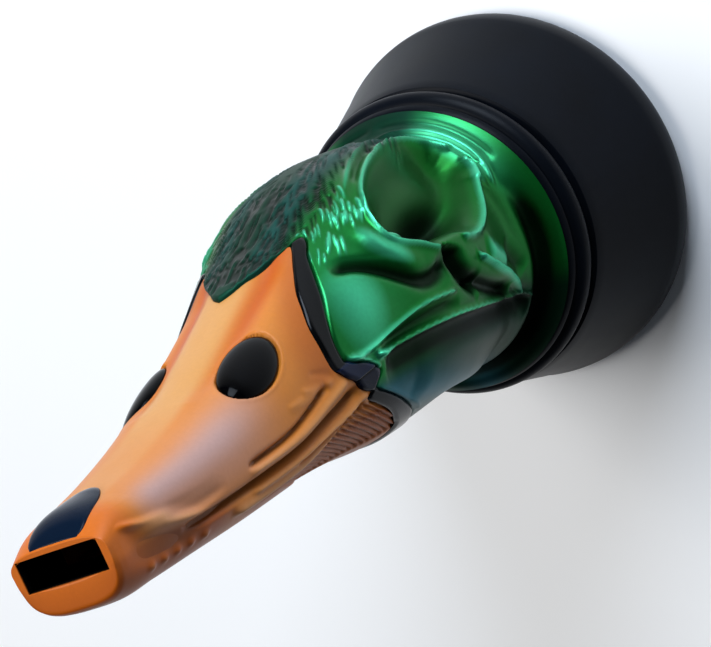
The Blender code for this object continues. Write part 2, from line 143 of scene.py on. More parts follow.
softbox("crown_softbox", (0.95, -0.38, 0.32), distance=0.46, size=0.28, power=0.80, colour="E0EEFF",
        spread=90)
softbox("overhead_softbox", (0.35, 0.35, 1.0), distance=0.9, size=0.5, power=7.2, colour="FFFFFF")
softbox("side_softbox", (-0.4, -1.0, 0.25), distance=0.8, size=0.5, power=0.3, colour="DCE8FF")

world = bpy.data.worlds.new("tent")
world.use_nodes = True
tent = world.node_tree.nodes["Background"]
tent.inputs["Color"].default_value = linear("C8D2DC")
tent.inputs["Strength"].default_value = 0.06
bpy.context.scene.world = world
bpy.context.scene.view_settings.view_transform = "Standard"


# ---- Bell --------------------------------------------------------------------------------------
# Flared horn injection moulded in black ABS, in one piece with the tenon that plugs into the barrel.
# Two grooves in the tenon take the O-rings, and the rim is a narrow flat ring. Lengths are in mm.
def finish_piece(name, mesh_data, material, body, slot, *stands_for):
    """Make a bmesh a shaded object that rides on a body and stands for CAD nodes."""
    mesh = bpy.data.meshes.new(name)
    mesh_data.to_mesh(mesh)
    mesh_data.free()
    obj = bpy.data.objects.new(name, mesh)
    bpy.context.collection.objects.link(obj)
    return dress(obj, material, body, slot, *stands_for)


def dress(obj, material, body, slot, *stands_for):
    """Give a finished object its material and its body; slot is not used."""
    obj.data.shade_smooth()
    obj.data.materials.clear()
    obj.data.materials.append(material)
    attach(obj, body)
    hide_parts(*stands_for)
    return obj


def spin_profile(outline, steps):
    """Turn a closed outline of (radius, height) in millimetres about Z, in so many steps."""
    data = bmesh.new()
    corners = [data.verts.new((radius * MM, 0.0, height * MM)) for radius, height in outline]
    data.faces.new(corners)
    rim = list(data.edges)
    bmesh.ops.delete(data, geom=list(data.faces), context="FACES_ONLY")
    bmesh.ops.spin(data, geom=rim + list(data.verts), axis=(0, 0, 1), cent=(0, 0, 0),
                   angle=2 * math.pi, steps=steps, use_merge=True)
    bmesh.ops.remove_doubles(data, verts=data.verts, dist=0.001 * MM)
    bmesh.ops.recalc_face_normals(data, faces=data.faces)
    return data


def ellipse_arc(centre, radii, start, end, count):
    """Points of an elliptical arc in the (radius, height) plane; angles in degrees."""
    angles = np.radians(np.linspace(start, end, count))
    return [(centre[0] + radii[0] * math.cos(a), centre[1] + radii[1] * math.sin(a)) for a in angles]


def moulded_black(name, colour, grain, roughness, grain_depth):
    """Black ABS: a dark resin clouded with blue, whose fine spark-eroded grain softens its gloss."""
    made, shader = new_material(name)
    place = add_node(made, "ShaderNodeTexCoord")
    clouds = add_node(made, "ShaderNodeTexNoise", [("Vector", place.outputs["Object"])],
                      Scale=1 / (CLOUD_SIZE * MM), Detail=3.0)
    fine = add_node(made, "ShaderNodeTexNoise", [("Vector", place.outputs["Object"])],
                    Scale=1 / (grain * MM), Detail=2.0)
    uneven = add_node(made, "ShaderNodeMapRange", [("Value", clouds.outputs["Fac"])])
    uneven.inputs["To Min"].default_value = roughness - 0.05
    uneven.inputs["To Max"].default_value = roughness + 0.07
    tint = add_node(made, "ShaderNodeMixRGB", [("Fac", clouds.outputs["Fac"])],
                    Color1=linear(colour), Color2=linear("090E16"))
    relief = add_node(made, "ShaderNodeBump", [("Height", fine.outputs["Fac"])],
                      Strength=0.35, Distance=grain_depth * MM)
    links = made.node_tree.links
    links.new(tint.outputs["Color"], shader.inputs["Base Color"])
    links.new(uneven.outputs["Result"], shader.inputs["Roughness"])
    links.new(relief.outputs["Normal"], shader.inputs["Normal"])
    shader.inputs["Specular IOR Level"].default_value = 0.06
    return made


# A fine grain leaves the bell satin and nearly black; the clouds keep it from looking flat. The grain's
# real size isn't known: it is guessed to be finer than this, and drawn coarse enough to show.
CLOUD_SIZE = 12
bell_black = moulded_black("black_abs", "040507", grain=0.5, roughness=0.36, grain_depth=0.02)

bell_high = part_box("bell")[1]
band_low, band_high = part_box("neck_band")
tube_low, tube_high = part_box("barrel_tube")
FIT = 0.3           # room between pieces that fit together
TUBE_WALL = 1.4
RIM_WIDTH = 1.8
RIM_ROUNDING = (2.2, 4.4)
CONE_FOOT = 7.2     # where the straight cone ends, above the rounded rim
THROAT = 4.6
CUP_START = 13.0
CUP_WALL = 3.6
CUP_ROOF = 2.4
MOULD_LINE = 0.05   # how proud the parting line stands, half way round on each side
LINE_RADIUS = 25.5  # the parting line shows beyond this radius
LINE_START = 4.0    # and above this height
bell_radius = bell_high.x / MM
band_base = band_low.z / MM
band_top = band_high.z / MM
band_radius = band_high.x / MM
shoulder = band_base - FIT
tenon_end = bell_high.z / MM
bore = tube_high.x / MM - TUBE_WALL
tenon = bore - FIT


def bell_outline():
    """Tenon with its grooves, shoulder, cone, rounded rim, then the cup and the throat."""
    points = [(tenon, tenon_end)]
    for ring in ("tenon_oring_front", "tenon_oring_rear"):
        low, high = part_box(ring)
        floor_radius = high.x / MM - (high.z - low.z) / MM - FIT
        top, base = high.z / MM + FIT, low.z / MM - FIT
        points += [(tenon, top), (floor_radius, top), (floor_radius, base), (tenon, base)]
    edge = band_radius + FIT
    points += [(tenon, shoulder), (edge - 1.1, shoulder), (edge - 0.3, shoulder - 0.35),
               (edge, shoulder - 1.0), (edge + 0.35, shoulder - 2.2), (bell_radius - 0.6, CONE_FOOT)]
    round_width, round_height = RIM_ROUNDING
    points += ellipse_arc((bell_radius - round_width, round_height), RIM_ROUNDING, 25, -90, 12)
    inner = bell_radius - round_width - RIM_WIDTH
    points += [(inner, 0.0), (inner - 0.25, 0.1), (inner - 0.5, 0.6)]
    cup_width = edge - CUP_WALL - THROAT
    cup_height = shoulder - CUP_ROOF - CUP_START
    points += ellipse_arc((THROAT, CUP_START), (cup_width, cup_height), 0, 90, 22)
    return points + [(THROAT, tenon_end)]


bell_mesh = spin_profile(bell_outline(), 192)
# The parting line of the mould runs down each side of the cone.
for vert in bell_mesh.verts:
    radius = math.hypot(vert.co.x, vert.co.y)
    turn = math.degrees(math.atan2(vert.co.y, vert.co.x)) % 180
    if radius > LINE_RADIUS * MM and vert.co.z > LINE_START * MM and abs(turn - 90) < 1.0:
        vert.co += Vector((vert.co.x, vert.co.y, 0)).normalized() * MOULD_LINE * MM
bell = finish_piece("bell", bell_mesh, bell_black, "insert", "bell_black", "bell")
bell.data.set_sharp_from_angle(angle=math.radians(40))


# ---- O-rings -----------------------------------------------------------------------------------
# Two nitrile rubber rings of 2 mm cord, stretched into the tenon's grooves. They stay with the
# barrel as it turns and let it slide off the tenon with a firm pull.
def plain_material(name, colour, roughness, speck, second, **sockets):
    """A plain moulded or cut surface: two close colours in soft specks, and a slight relief."""
    made, shader = new_material(name)
    place = add_node(made, "ShaderNodeTexCoord")
    specks = add_node(made, "ShaderNodeTexNoise", [("Vector", place.outputs["Object"])],
                      Scale=1 / (speck * MM), Detail=4.0)
    tint = add_node(made, "ShaderNodeMixRGB", [("Fac", specks.outputs["Fac"])],
                    Color1=linear(colour), Color2=linear(second))
    relief = add_node(made, "ShaderNodeBump", [("Height", specks.outputs["Fac"])],
                      Strength=0.3, Distance=0.03 * MM)
    made.node_tree.links.new(tint.outputs["Color"], shader.inputs["Base Color"])
    made.node_tree.links.new(relief.outputs["Normal"], shader.inputs["Normal"])
    shader.inputs["Roughness"].default_value = roughness
    for socket, value in sockets.items():
        shader.inputs[socket].default_value = value
    return made


# Moulded nitrile is dull and almost black, with the dusty specks of its release powder.
nitrile = plain_material("nitrile_rubber", "141414", roughness=0.62, speck=0.4, second="242424")
for ring in ("tenon_oring_rear", "tenon_oring_front"):
    low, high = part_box(ring)
    cord = (high.z - low.z) / MM / 2
    middle = (high.x / MM - cord, (high.z + low.z) / MM / 2)
    ring_mesh = spin_profile(ellipse_arc(middle, (cord, cord), 0, 337.5, 16), 96)
    finish_piece(ring, ring_mesh, nitrile, "seal_rings", "seal_rubber", ring)


# ---- Tone board, reeds and wedge ---------------------------------------------------------------
# The voice of the call: a half-round polycarbonate board with an air trough, two reeds punched from
# matt polyester film, and a cork wedge that pins their heels in the tenon.
def dress_cad(node, material):
    """A CAD node that keeps its shape takes a finished material."""
    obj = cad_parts[node]
    obj.data.materials.clear()
    obj.data.materials.append(material)


# Milled polycarbonate is smooth and smoky; the film is milky and half matt; cork is dry and speckled.
smoked = plain_material("smoked_polycarbonate", "26282B", roughness=0.22, speck=3.0, second="303338",
                        IOR=1.58)
film = plain_material("polyester_film", "D9DACD", roughness=0.3, speck=1.2, second="C8CABB", IOR=1.64)
cork = plain_material("cork", "B98A57", roughness=0.9, speck=0.9, second="7A5230")
dress_cad("tone_board", smoked)
dress_cad("reed_long", film)
dress_cad("reed_short", film)
dress_cad("reed_wedge", cork)


# ---- Neck band ---------------------------------------------------------------------------------
# A separate moulded collar behind the head: its rounded bead shows between bell and neck, and its
# inner disc holds the end of the barrel tube.
BAND_WEB = 3.2
BAND_BEAD = (2.4, 2.1)
COLLAR_EDGE = [(2.5, 0.0), (1.8, 0.5), (1.45, 1.4)]     # in from the bead's edge, down from the top
RECESS_WALL = 6.0   # from the bead in to the recess over the bell's shoulder


def band_outline():
    """Inner disc, the top that meets the head, the bead, then the recess over the shoulder."""
    inner = tube_high.x / MM + FIT
    web = band_top - BAND_WEB
    bead_width, bead_height = BAND_BEAD
    bead = ellipse_arc((band_radius - bead_width, band_base + bead_height), BAND_BEAD, 78, -90, 14)
    collar = [(inner, band_top)]
    collar += [(band_radius - inset, band_top - drop) for inset, drop in COLLAR_EDGE]
    recess = band_radius - RECESS_WALL
    return collar + bead + [(recess, band_base), (recess, web), (inner, web)]


band_mesh = spin_profile(band_outline(), 192)
band = finish_piece("neck_band", band_mesh, bell_black, "barrel", "bell_black", "neck_band")
band.data.set_sharp_from_angle(angle=math.radians(50))


# ---- Barrel tube, seal and duct ----------------------------------------------------------------
# The bore is a length of drawn ABS tube; a flat rubber ring seals it to the duct, which is blown to
# turn the flat mouth of the bill into the round bore.
tube_black = moulded_black("black_tube", "141619", grain=0.7, roughness=0.3, grain_depth=0.01)
LEAD = 0.6          # chamfer that guides the tenon into the bore
outer = tube_high.x / MM
base, top = tube_low.z / MM, tube_high.z / MM
tube_outline = [(outer, top), (outer, base), (bore + LEAD, base), (bore, base + LEAD), (bore, top)]
tube_mesh = spin_profile(tube_outline, 128)
tube = finish_piece("barrel_tube", tube_mesh, tube_black, "barrel", "barrel_black", "barrel_tube")
tube.data.set_sharp_from_angle(angle=math.radians(40))

low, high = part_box("duct_seal")
seal_mesh = spin_profile([(high.x / MM, high.z / MM), (high.x / MM, low.z / MM), (bore, low.z / MM),
                          (bore, high.z / MM)], 96)
finish_piece("duct_seal", seal_mesh, nitrile, "barrel", "seal_rubber", "duct_seal")
dress_cad("mouthpiece_duct", tube_black)


# ---- Head --------------------------------------------------------------------------------------
# Two mirrored shells of rotation-moulded vinyl glued along the middle, painted metallic emerald.
# The eye socket, its lids, the cheek ridges and the crown feathers are all in the mould. A place on the
# skin is degrees round from the crown line, then height in mm.
NECK_STEP = 1.9     # how far the neck is set in from the band
neck = band_top + FIT
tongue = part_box("head_left")[1].z / MM
tip = cad_high.z / MM
neck_radius = band_radius - NECK_STEP

# Cross-sections: fraction of the length, centre, crown height, throat depth, half width, squareness.
HEAD_SECTIONS = [
    (0.00, 0.0, neck_radius, neck_radius, neck_radius, 2.0),
    (0.055, -0.5, 21.0, 19.5, 20.0, 2.0),
    (0.14, 0.3, 21.0, 18.0, 19.0, 2.1),
    (0.255, 0.9, 21.8, 18.5, 20.0, 2.2),
    (0.42, 1.5, 22.0, 19.0, 20.5, 2.2),
    (0.59, 1.5, 20.8, 19.0, 19.5, 2.2),
    (0.757, 0.5, 18.2, 17.5, 17.0, 2.2),
    (0.925, -0.9, 15.2, 14.5, 14.5, 2.3),
]
BILL_SECTIONS = [
    (0.06, -2.0, 13.4, 12.5, 13.55, 2.4),
    (0.235, -3.55, 11.6, 10.5, 13.15, 2.5),
    (0.44, -4.15, 8.7, 9.4, 12.55, 2.6),
    (0.65, -4.55, 6.9, 8.3, 11.25, 2.8),
    (0.825, -4.55, 5.9, 7.8, 9.65, 3.0),
    (0.948, -4.35, 4.7, 7.5, 8.75, 3.2),
    (1.00, -4.35, 3.1, 6.6, 8.45, 3.2),
]
sections = np.array([(neck + f * (tongue - neck), *rest) for f, *rest in HEAD_SECTIONS]
                    + [(tongue + f * (tip - tongue), *rest) for f, *rest in BILL_SECTIONS])
slopes = np.gradient(sections[:, 1:], sections[:, 0], axis=0)


def smooth_line(points):
    """A smooth curve through given points (Catmull-Rom), as a list five times finer."""
    p = np.array(points, float)
    p = np.concatenate([p[:1], p, p[-1:]])
    t = np.linspace(0, 1, 5, endpoint=False)[:, None]
    fine = [0.5 * (2 * b + (c - a) * t + (2 * a - 5 * b + 4 * c - d) * t**2 + (3 * b - a - 3 * c + d) * t**3)
            for a, b, c, d in zip(p, p[1:], p[2:], p[3:])]
    return [tuple(q) for q in np.concatenate(fine + [p[-2:-1]])]


# Edges of the head and the bill round the skin; the gape trim lies between them.
HEAD_EDGE = [(0, 91.6), (5, 90.4), (10, 88.5), (15, 87.0), (20, 85.0), (25, 82.4), (30, 79.3), (33, 79.1),
             (36, 80.0), (40, 82.0), (50, 84.5), (60, 86.5), (70, 88.5), (80, 89.9), (89, 90.1), (93, 88.9),
             (98, 86.0), (103, 84.2), (108, 83.6), (112, 84.6), (115, 84.8), (120, 82.9), (130, 79.0),
             (140, 75.5), (150, 72.5), (165, 70.6), (180, 70.0)]
HEAD_EDGE = smooth_line(HEAD_EDGE)
BILL_EDGE = [(0, 91.7), (5, 90.5), (10, 88.6), (15, 87.1), (20, 85.1), (25, 82.5), (28, 81.2), (35, 84.5),
             (45, 88.5), (55, 90.8), (65, 92.5), (75, 93.1), (88, 93.2), (93, 92.1), (98, 90.8), (103, 89.3),
             (109, 88.4), (113, 87.0), (115, 86.2), (118, 87.0), (125, 84.6), (135, 81.0), (145, 78.3),
             (155, 76.5), (180, 75.6)]
BILL_EDGE = smooth_line(BILL_EDGE)


def section(height):
    """Centre, crown, throat, half width and squareness at each height, smooth between the sections."""
    heights = sections[:, 0]
    i = np.clip(np.searchsorted(heights, height) - 1, 0, len(heights) - 2)
    span = (heights[i + 1] - heights[i])[:, None]
    t = np.clip((height - heights[i])[:, None] / span, 0, 1)
    values = ((2 * t**3 - 3 * t**2 + 1) * sections[i, 1:] + (t**3 - 2 * t**2 + t) * span * slopes[i]
              + (3 * t**2 - 2 * t**3) * sections[i + 1, 1:] + (t**3 - t**2) * span * slopes[i + 1])
    return values.T


def skin(degrees, height):
    """Points of the smooth skin on the duck's left side, in millimetres."""
    centre, up, down, half_width, squareness = section(height)
    along, across = np.cos(np.radians(degrees)), np.sin(np.radians(degrees))
    reach = np.where(along >= 0, up, down)
    x = centre + reach * np.sign(along) * np.abs(along) ** (2 / squareness)
    y = -half_width * np.sign(across) * np.abs(across) ** (2 / squareness)
    return np.stack([x, y, height], 1)


def skin_normal(degrees, height):
    """Outward normals of the smooth skin, from places a little to each side."""
    around = skin(degrees + 0.6, height) - skin(degrees - 0.6, height)
    ahead = skin(degrees, height + 0.2) - skin(degrees, height - 0.2)
    normal = np.cross(ahead, around)
    return normal / np.linalg.norm(normal, axis=1, keepdims=True)


def degree_width(height):
    """Millimetres round the skin for one degree."""
    _, up, down, half_width, _ = section(height)
    return math.radians(1) * (up + down + 2 * half_width) / 4


def near_line(degrees, height, points):
    """Distance in millimetres from each place on the skin to a drawn line, and how far along it."""
    wide = degree_width(height)
    best = np.full(len(degrees), 1e9)
    along = np.zeros(len(degrees))
    count = len(points) - 1
    for k in range(count):
        (a0, z0), (a1, z1) = points[k], points[k + 1]
        dx, dz = (a1 - a0) * wide, z1 - z0
        px, pz = (degrees - a0) * wide, height - z0
        t = np.clip((px * dx + pz * dz) / (dx * dx + dz * dz + 1e-9), 0, 1)
        gap = np.hypot(px - t * dx, pz - t * dz)
        closer = gap < best
        best = np.where(closer, gap, best)
        along = np.where(closer, (k + t) / count, along)
    return best, along


def stroke(degrees, height, points, width, lift, fade):
    """A ridge (lift above 0) or groove along a smooth line; fade is the share that tapers at each end."""
    line = smooth_line(points)
    (a_low, z_low), (a_high, z_high) = np.min(line, axis=0), np.max(line, axis=0)
    reach = 3 * width
    close = (degrees > a_low - 6 * reach) & (degrees < a_high + 6 * reach)
    close &= (height > z_low - reach) & (height < z_high + reach)
    gap, along = near_line(degrees[close], height[close], line)
    ends = ease(np.minimum(along, 1 - along), 0, fade) if fade else 1.0
    relief = np.zeros(len(degrees))
    relief[close] = lift * ends * np.exp(-(gap / width) ** 2)
    return relief


def folded(degrees, height, folds):
    """The relief of a list of folds: the points, half width, rise and fade of each."""
    return sum(stroke(degrees, height, *fold) for fold in folds)


def swell(degrees, height, middle, radii, lift):
    """A soft mound or hollow, or a soft patch of paint."""
    a = (degrees - middle[0]) * degree_width(height) / radii[0]
    z = (height - middle[1]) / radii[1]
    return lift * np.exp(-(a * a + z * z))


def inside(degrees, height, outline):
    """Which places lie inside a drawn outline."""
    hit = np.zeros(len(degrees), bool)
    for (a0, z0), (a1, z1) in zip(outline, outline[1:] + outline[:1]):
        if z0 != z1:
            crosses = (z0 > height) != (z1 > height)
            hit ^= crosses & (degrees < (a1 - a0) * (height - z0) / (z1 - z0) + a0)
    return hit


def ease(value, low, high):
    """Smooth step from 0 at low to 1 at high."""
    t = np.clip((value - low) / (high - low), 0, 1)
    return t * t * (3 - 2 * t)


def blend_colour(base, other, amount):
    """Lay another colour over the base, as sprayed paint or as painted light and shade: amount is how
    thickly, from 0 to 1.
    """
    return base + (other - base) * amount[:, None]


def coat_of(hex_colour, gloss=1.0):
    """A paint: its linear colour, and in the fourth channel how glossy it dries, from 0 to 1."""
    return np.array([*linear(hex_colour)[:3], gloss])


def half_shell(columns, rows):
    """A flat unit slab, two layers thick, closed all round: x runs round, y runs along the shell."""
    data = bmesh.new()
    bmesh.ops.create_grid(data, x_segments=columns, y_segments=rows, size=0.5)
    bmesh.ops.translate(data, verts=data.verts, vec=(0.5, 0.5, 0))
    bmesh.ops.solidify(data, geom=list(data.faces), thickness=0.1)
    return data


MIDDLE_GAP = 0.004  # from each half to the middle plane, so that the halves never touch
SHARP_ANGLE = math.radians(65)


def sculpt(name, side, data, shape, material, slot, *stands_for):
    """Bend a unit form into a piece: shape(x, y, z) gives each vertex its point and its paint.

    Side -1 is the duck's left, 1 mirrors it to the right, and 0 leaves a piece across the middle.
    """
    if side < 0:
        bmesh.ops.reverse_faces(data, faces=data.faces)
    mesh = bpy.data.meshes.new(name)
    data.to_mesh(mesh)
    data.free()
    unit = np.empty(len(mesh.vertices) * 3, np.float32)
    mesh.vertices.foreach_get("co", unit)
    points, paint = shape(*unit.reshape(-1, 3).astype(float).T)
    if side:
        points[:, 1] = np.minimum(points[:, 1], -MIDDLE_GAP) * -side
    mesh.vertices.foreach_set("co", (points * MM).astype(np.float32).ravel())
    paint_map = mesh.color_attributes.new("paint", "FLOAT_COLOR", "POINT")
    paint_map.data.foreach_set("color", paint.astype(np.float32).ravel())
    mesh.update()
    obj = bpy.data.objects.new(name, mesh)
    bpy.context.collection.objects.link(obj)
    dress(obj, material, "barrel", slot, *stands_for)
    mesh.set_sharp_from_angle(angle=SHARP_ANGLE)


# Folds in the mould. Each is the points of its line on the skin, its half width, its rise (below 0 for
# a groove), and the share of its length that tapers at each end.
SOCKET_RIM = [(40, 37.0), (32, 38.0), (26.5, 40.3), (24.4, 43.5), (25.2, 47), (27.5, 50.5), (30, 54),
              (33, 58.2), (36.5, 62), (41, 65.6), (47, 68.4), (54, 70.1), (61, 70.7), (67, 70.3),
              (72, 68.6), (76.5, 66), (81.5, 63.1)]
SOCKET_LIP = [(83, 56.5), (84.6, 53.5), (84, 50.5), (81, 47.8), (76, 45), (70, 42.6), (63, 40.2),
              (56, 38.3), (48, 37.1)]
SOCKET_FOLDS = [
    (SOCKET_RIM, 0.55, 0.75, 0),
    (SOCKET_LIP, 0.55, 0.8, 0.05),
    ([(66, 40.4), (60, 38.2), (54, 36.8)], 1.3, 0.5, 0.2),
    ([(9, 37.5), (14, 43), (18, 48), (22, 53.2), (25, 57.3), (28.5, 61.3), (32.5, 65), (37, 68.2),
      (43, 70)], 0.55, 0.6, 0.3),
    ([(12, 38), (17, 43.6), (21, 49), (25, 53.8), (28.6, 58), (32.5, 62), (37, 65.6)], 0.45, -0.45, 0.15),
    ([(2, 40.5), (7, 45), (11, 50), (15, 55), (18, 60)], 0.6, 0.3, 0.3),
    ([(46, 72.2), (56, 73.4), (67, 72.6), (77, 70), (83, 66.8)], 1.7, 0.75, 0.4),
    ([(55, 82.8), (59, 80.2), (65, 77.8), (73, 75.2), (81, 72.6), (87, 70), (89.3, 67), (88.4, 64.2),
      (85, 62.4)], 0.95, -1.7, 0.14),
]
NECK_FOLDS = [
    ([(0, 36.5), (20, 35.5), (40, 35.3), (56, 35.9), (70, 38)], 0.45, 0.6, 0.15),
    ([(0, 34.4), (30, 34.2), (60, 34.7)], 0.35, -0.35, 0.15),
]
CHEEK_FOLDS = [
    ([(91, 89.6), (93.4, 87.3), (94.4, 83.5), (94.2, 79), (94.3, 74), (95.3, 69.5), (98.3, 63)],
     0.36, 0.65, 0.06),
    ([(92, 88.6), (95, 86.9), (100, 84.9), (106, 83.4)], 0.4, 0.45, 0.1),
    ([(98, 83.4), (98.5, 77), (100.5, 69.5), (103, 63)], 0.8, -0.8, 0.2),
    ([(99, 58), (106, 53.4), (111, 49.4), (115, 46)], 1.35, -2.0, 0.2),
    ([(83.5, 60), (89, 60.6), (96, 59.5), (103, 56.5)], 1.6, -2.8, 0.12),
]
JAW_FOLDS = [
    ([(99.3, 84), (101.4, 79.2), (103.6, 74), (105.8, 69), (108, 64), (110.5, 59.5), (113.2, 54),
      (115.8, 49.5), (118.4, 45), (120.8, 41.2), (123.2, 37.2)], 0.55, 1.35, 0.04),
    ([(107, 82.5), (110, 74), (114, 65), (119, 55), (124, 45), (129, 37)], 2.2, -2.0, 0.1),
    ([(91, 54.7), (95, 52.5), (100, 50), (105, 47.2), (110, 44.9), (115, 43.2), (119.5, 41.8)],
     0.55, 1.3, 0.07),
    ([(90, 51), (95, 48.6), (101, 46)], 1.9, 0.8, 0.3),
    ([(94, 44.5), (102, 41.8), (110, 39.6)], 1.8, -0.9, 0.3),
    ([(126, 76), (138, 66), (150, 56), (165, 46), (178, 40)], 3.4, 0.8, 0.12),
    ([(116, 84.2), (122, 81.4), (132, 77.4), (142, 73.4), (150, 71)], 0.4, 0.35, 0.1),
]
BOWL_DEPTH = 4.4
HEAD_WALL = 0.9

# Paints of the head, from the lit ridges to the hollows. Mint, the cheek green and the two sheens are
# painted highlights and sheen; the socket, throat and recess colours are painted shade.
# Painted highlight: mint lightens the raised folds, the brow, the raised barbs and the socket's floor.
RIM_HIGHLIGHT_MINT = "4FD0A0"
# Painted sheen: a brighter green where the cheek catches the light.
CHEEK_SHEEN_GREEN = "187C40"
EMERALD = "0A6020"
# Painted shade: a darker green inside the eye socket.
SOCKET_SHADE_GREEN = "04480F"
CROWN_SHEEN = "184E48"
CROWN_TEAL = "042C20"
THROAT_SHEEN = "2A6676"
# Painted shade: the underside of the head is painted darker.
THROAT_SHADE_GREEN = "042A1A"
# Painted shade: near black in the grooves, the cut barbs and the deepest part of the socket.
RECESS_SHADE = "010A03"


def feather_strokes():
    """Barbs cut in the crown, and a few raised beside it: start, end, half width and rise of each."""
    draw = np.random.default_rng(7)
    strokes = []
    for count, a_range, z_range, lengths, lean_base, lean_gain, spread, rise in (
            (170, (0, 30), (66, 88), (2.6, 5.6), -8, 1.5, 9, -0.30),
            (70, (0, 24), (42, 68), (4.0, 9.0), 10, 0.9, 6, -0.26),
            (46, (27, 48), (66, 82), (2.2, 4.2), 40, 0.0, 9, 0.26)):
        for _ in range(count):
            a, z = draw.uniform(*a_range), draw.uniform(*z_range)
            length = draw.uniform(*lengths)
            lean = math.radians(lean_base + a * lean_gain + draw.uniform(-spread, spread))
            end = (max(a + math.sin(lean) * length / 0.31, 0.3), z + math.cos(lean) * length)
            strokes.append(((a, z), end, draw.uniform(0.15, 0.25), rise))
    return strokes


def feather_relief(a, z):
    """Relief of the barbs, fading out at the tongue's edge."""
    relief = np.zeros(len(a))
    for start, end, width, rise in feather_strokes():
        close = (a > min(start[0], end[0]) - 3) & (a < max(start[0], end[0]) + 3)
        close &= (z > start[1] - 0.8) & (z < end[1] + 0.8)
        gap, along = near_line(a[close], z[close], [start, end])
        taper = ease(np.minimum(along * 3, 1 - along), 0, 0.6)
        relief[close] += rise * taper * np.exp(-(gap / width) ** 2)
    edge = np.interp(a, *zip(*HEAD_EDGE))
    return np.clip(relief, -0.34, 0.3) * ease(edge - z, 0.0, 0.8)


def head_relief(a, z):
    """What the mould adds along the skin's normal, how far inside the socket, and the bowl's depth."""
    lift = folded(a, z, SOCKET_FOLDS + NECK_FOLDS + CHEEK_FOLDS + JAW_FOLDS)
    lift += swell(a, z, (76, 82.5), (6.5, 5.5), 0.8)
    lift += ease(a, 66, 96) * -2.6 * np.exp(-((z - 35.6) / 1.1) ** 2)
    lift += 0.7 * ease(32 - a, 0, 5) * ease(z, 78, 86)
    rim = smooth_line(SOCKET_RIM + SOCKET_LIP + SOCKET_RIM[:1])
    within = np.zeros(len(a))
    close = (a > 8) & (a < 90) & (z > 34) & (z < 73)
    gap, _ = near_line(a[close], z[close], rim)
    within[close] = np.where(inside(a[close], z[close], rim), gap, 0)
    bowl = (1 - np.exp(-(within / 3.0) ** 1.6)) * (BOWL_DEPTH + 2.4 * ease(a, 36, 74))
    pit = swell(a, z, (70, 54.5), (4.2, 6.0), 3.4)
    pad = swell(a, z, (64, 66.2), (2.6, 1.8), 2.2)
    bowl += ease(within, 0.8, 3.0) * (pit - pad)
    return lift, within, bowl


def shape_head(u, v, layer):
    """The smooth skin with its relief, the socket pressed in, under emerald that dulls to teal on top, with
    painted highlights on the ridges and painted shade in the hollows.
    """
    a = u * 180
    edge = np.interp(a, *zip(*HEAD_EDGE))
    z = neck + (edge - neck) * v
    lift, within, bowl = head_relief(a, z)
    barbs = feather_relief(a, z)
    rolled = -0.35 * (1 - ease(edge - z, 0, 0.5))
    depth = np.where(layer > -0.05, lift + barbs + rolled, np.minimum(lift, 0) - HEAD_WALL)
    points = skin(a, z) + skin_normal(a, z) * depth[:, None]
    inward = points * np.array([1.0, 1.0, 0.0])
    inward /= np.linalg.norm(inward, axis=1, keepdims=True)
    points -= inward * bowl[:, None]

    crown = 1 - ease(a - (z - 60) * 0.12, 17, 33)
    sheen = np.exp(-((a - 14) / 6) ** 2) * ease(z, 36, 46) * (1 - ease(z, 82, 90))
    throat = ease(a, 108, 122)
    glow = np.exp(-((a - (132 + (76 - z) * 1.2)) / 11) ** 2) * throat
    paint = np.tile(coat_of(EMERALD), (len(a), 1))
    for colour, gloss, amount in (
            # Painted sheen on the cheek.
            (CHEEK_SHEEN_GREEN, 1, swell(a, z, (74, 82), (9, 7), 0.8)),
            # Painted highlight along the raised folds.
            (RIM_HIGHLIGHT_MINT, 1, np.clip((lift - 0.25) * 1.1, 0, 0.75) * (1 - ease(a, 122, 128))),
            # Painted highlight along the brow.
            (RIM_HIGHLIGHT_MINT, 1, swell(a, z, (34, 35.6), (9, 2.0), 0.5)),
            (CROWN_TEAL, 0.35, crown * 0.95),
            (CROWN_SHEEN, 0.2, sheen * 0.7),
            # Painted shade on the throat, the underside of the head.
            (THROAT_SHADE_GREEN, 0.8, throat * 0.95),
            (THROAT_SHEEN, 0.6, glow * 0.7),
            # Painted shade in the cut barbs.
            (RECESS_SHADE, 1, np.clip(-barbs * 2.8, 0, 0.85)),
            # Painted highlight on the raised barbs.
            (RIM_HIGHLIGHT_MINT, 1, np.clip(barbs * 2.6, 0, 0.6)),
            # Painted shade in the grooves.
            (RECESS_SHADE, 0.6, np.clip(-lift * 0.8, 0, 0.92)),
            # Painted shade inside the socket.
            (SOCKET_SHADE_GREEN, 1, ease(within, 0.5, 1.6) * 0.85),
            # Painted shade in the socket's pit.
            (RECESS_SHADE, 0.3, ease(bowl, 4.5, 8.0) * 0.9),
            # Painted highlight on the socket's floor.
            (RIM_HIGHLIGHT_MINT, 1, swell(a, z, (63, 66.4), (2.0, 1.0), 0.7))):
        paint = blend_colour(paint, coat_of(colour, gloss), amount)
    return points, paint


FLECK_SIZE = 0.6    # real flakes are guessed to be far finer, and are drawn coarse enough to show
PATCH_SIZE = 7
GLOSS_GAIN = -0.35  # how much a full gloss takes off the roughness


